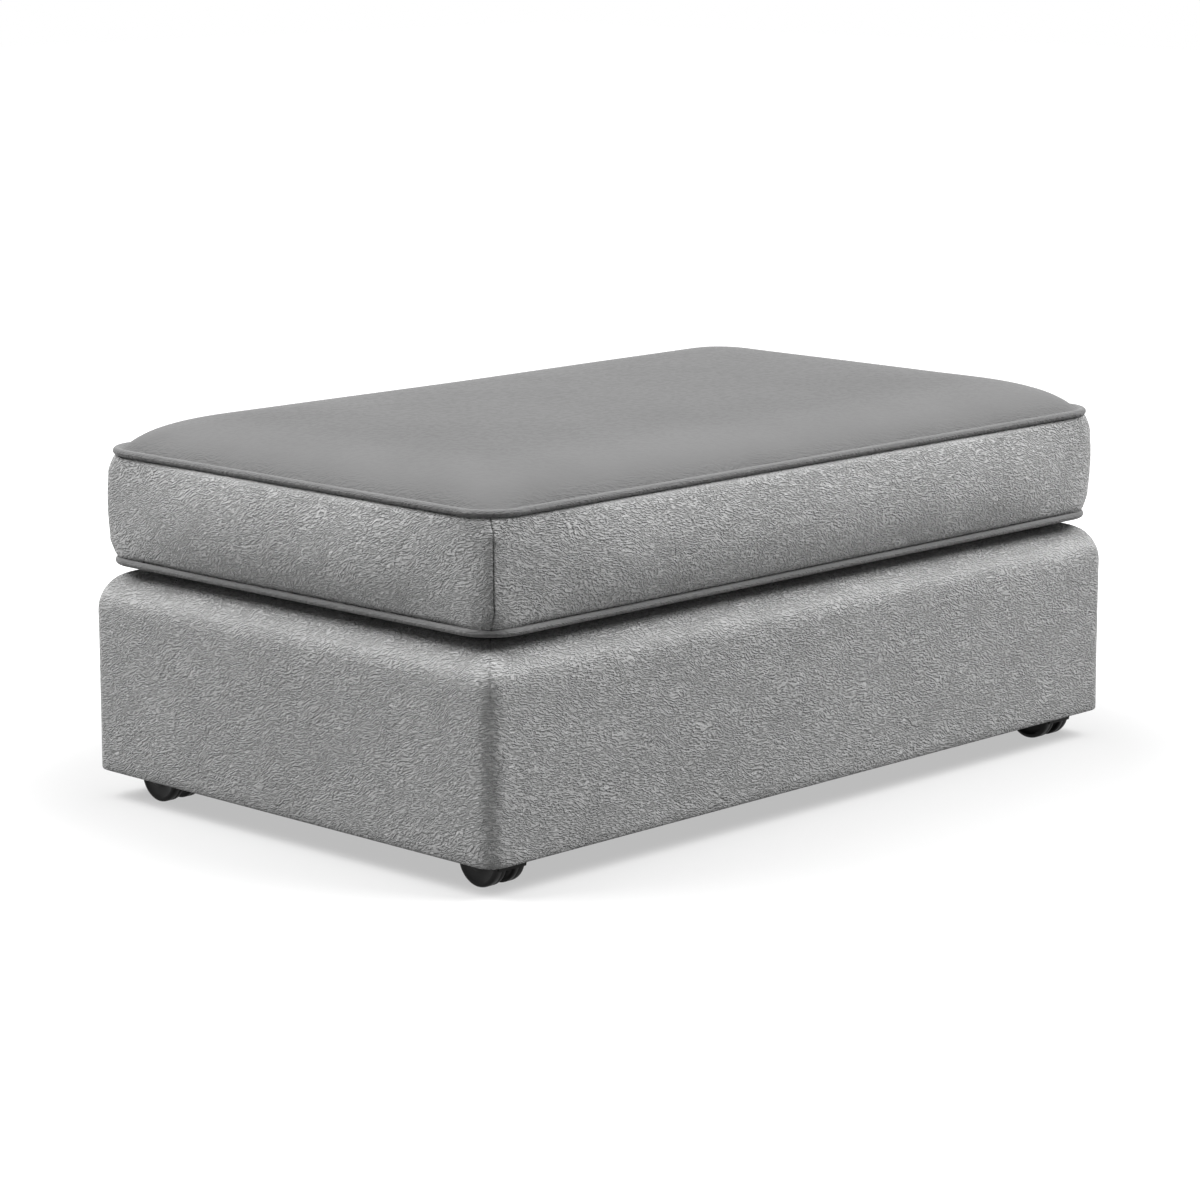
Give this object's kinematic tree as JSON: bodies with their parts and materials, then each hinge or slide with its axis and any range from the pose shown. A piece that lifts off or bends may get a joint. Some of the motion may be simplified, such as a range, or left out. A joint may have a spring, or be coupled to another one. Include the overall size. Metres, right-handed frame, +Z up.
{
  "type": "ottoman coffee table",
  "caption": "Rectangular padded ottoman table: a skirted leather base on swivel casters, with a loose welted box cushion as its top.",
  "frame": {"origin": "on the floor, at the middle of the footprint", "axes": "+Z up, +X along the long side, -Y the front"},
  "size_m": [1.067, 0.66, 0.455],
  "materials": {
    "leather": "mid-grey pebbled leather, soft sheen",
    "welt_leather": "the same leather over a round cord",
    "lining_cloth": "black woven lining",
    "dust_cloth": "black non-woven",
    "wood": "raw softwood and plywood",
    "fibreboard": "brown fibreboard",
    "webbing": "woven elastic webbing",
    "foam": "cream upholstery foam",
    "fibre": "white polyester fibre",
    "zip_tape": "dark grey woven tape",
    "zip_coil": "dark grey nylon coil",
    "zip_metal": "dark plated metal",
    "socket_steel": "zinc-plated pressed steel",
    "caster_housing": "black nylon, satin",
    "caster_steel": "zinc-plated steel",
    "caster_wheel": "black nylon, satin"
  },
  "bodies": {
    "base": {"back_cover": "leather", "back_rail": "wood", "caster_sockets": "socket_steel", "corner_boards": "fibreboard", "corner_posts": "wood", "cross_webbing": "webbing", "deck_cloth": "lining_cloth", "deck_foam": "foam", "dust_cover": "dust_cloth", "front_cover": "leather", "front_rail": "wood", "left_cover": "leather", "left_rail": "wood", "long_webbing": "webbing", "right_cover": "leather", "right_rail": "wood", "side_boards": "fibreboard", "side_wadding": "fibre", "stretchers": "wood"},
    "cushion": {"top_panel": "leather", "bottom_panel": "lining_cloth", "top_fibre": "fibre", "bottom_fibre": "fibre", "foam_core": "foam", "front_boxing": "leather", "left_boxing": "leather", "right_boxing": "leather", "back_boxing": "leather", "top_welt": "welt_leather", "bottom_welt": "welt_leather", "zip_tapes": "zip_tape", "zip_coils": "zip_coil"},
    "zip_slider": {"zip_slider": "zip_metal"},
    "zip_pull": {"zip_pull": "zip_metal"},
    "front_left_caster": {"front_left_housing": "caster_housing", "front_left_stem": "caster_steel", "front_left_axle": "caster_steel"},
    "front_left_wheel_a": {"front_left_wheel_a": "caster_wheel"},
    "front_left_wheel_b": {"front_left_wheel_b": "caster_wheel"},
    "front_right_caster": {"front_right_housing": "caster_housing", "front_right_stem": "caster_steel", "front_right_axle": "caster_steel"},
    "front_right_wheel_a": {"front_right_wheel_a": "caster_wheel"},
    "front_right_wheel_b": {"front_right_wheel_b": "caster_wheel"},
    "back_left_caster": {"back_left_housing": "caster_housing", "back_left_stem": "caster_steel", "back_left_axle": "caster_steel"},
    "back_left_wheel_a": {"back_left_wheel_a": "caster_wheel"},
    "back_left_wheel_b": {"back_left_wheel_b": "caster_wheel"},
    "back_right_caster": {"back_right_housing": "caster_housing", "back_right_stem": "caster_steel", "back_right_axle": "caster_steel"},
    "back_right_wheel_a": {"back_right_wheel_a": "caster_wheel"},
    "back_right_wheel_b": {"back_right_wheel_b": "caster_wheel"}
  },
  "joints": [
    {"name": "cushion_lift", "type": "slide", "parent": "base", "child": "cushion", "axis": [0, 0, 1], "range_m": [0, 0.25]},
    {"name": "zip_slide", "type": "slide", "parent": "cushion", "child": "zip_slider", "axis": [1, 0, 0], "range_m": [0, 0.8776]},
    {"name": "zip_pull_flip", "type": "hinge", "parent": "zip_slider", "child": "zip_pull", "pos_m": [-0.4388, 0.3287, 0.3455], "axis": [0, 0, 1], "range_deg": [0, 178]},
    {"name": "front_left_swivel", "type": "hinge", "parent": "base", "child": "front_left_caster", "pos_m": [-0.477, -0.265, 0.07], "axis": [0, 0, 1], "continuous": true},
    {"name": "front_left_roll_a", "type": "hinge", "parent": "front_left_caster", "child": "front_left_wheel_a", "pos_m": [-0.49155, -0.274, 0.03], "axis": [1, 0, 0], "continuous": true},
    {"name": "front_left_roll_b", "type": "hinge", "parent": "front_left_caster", "child": "front_left_wheel_b", "pos_m": [-0.46245, -0.274, 0.03], "axis": [1, 0, 0], "continuous": true},
    {"name": "front_right_swivel", "type": "hinge", "parent": "base", "child": "front_right_caster", "pos_m": [0.477, -0.265, 0.07], "axis": [0, 0, 1], "continuous": true},
    {"name": "front_right_roll_a", "type": "hinge", "parent": "front_right_caster", "child": "front_right_wheel_a", "pos_m": [0.46245, -0.274, 0.03], "axis": [1, 0, 0], "continuous": true},
    {"name": "front_right_roll_b", "type": "hinge", "parent": "front_right_caster", "child": "front_right_wheel_b", "pos_m": [0.49155, -0.274, 0.03], "axis": [1, 0, 0], "continuous": true},
    {"name": "back_left_swivel", "type": "hinge", "parent": "base", "child": "back_left_caster", "pos_m": [-0.477, 0.265, 0.07], "axis": [0, 0, 1], "continuous": true},
    {"name": "back_left_roll_a", "type": "hinge", "parent": "back_left_caster", "child": "back_left_wheel_a", "pos_m": [-0.49155, 0.256, 0.03], "axis": [1, 0, 0], "continuous": true},
    {"name": "back_left_roll_b", "type": "hinge", "parent": "back_left_caster", "child": "back_left_wheel_b", "pos_m": [-0.46245, 0.256, 0.03], "axis": [1, 0, 0], "continuous": true},
    {"name": "back_right_swivel", "type": "hinge", "parent": "base", "child": "back_right_caster", "pos_m": [0.477, 0.265, 0.07], "axis": [0, 0, 1], "continuous": true},
    {"name": "back_right_roll_a", "type": "hinge", "parent": "back_right_caster", "child": "back_right_wheel_a", "pos_m": [0.46245, 0.256, 0.03], "axis": [1, 0, 0], "continuous": true},
    {"name": "back_right_roll_b", "type": "hinge", "parent": "back_right_caster", "child": "back_right_wheel_b", "pos_m": [0.49155, 0.256, 0.03], "axis": [1, 0, 0], "continuous": true}
  ]
}
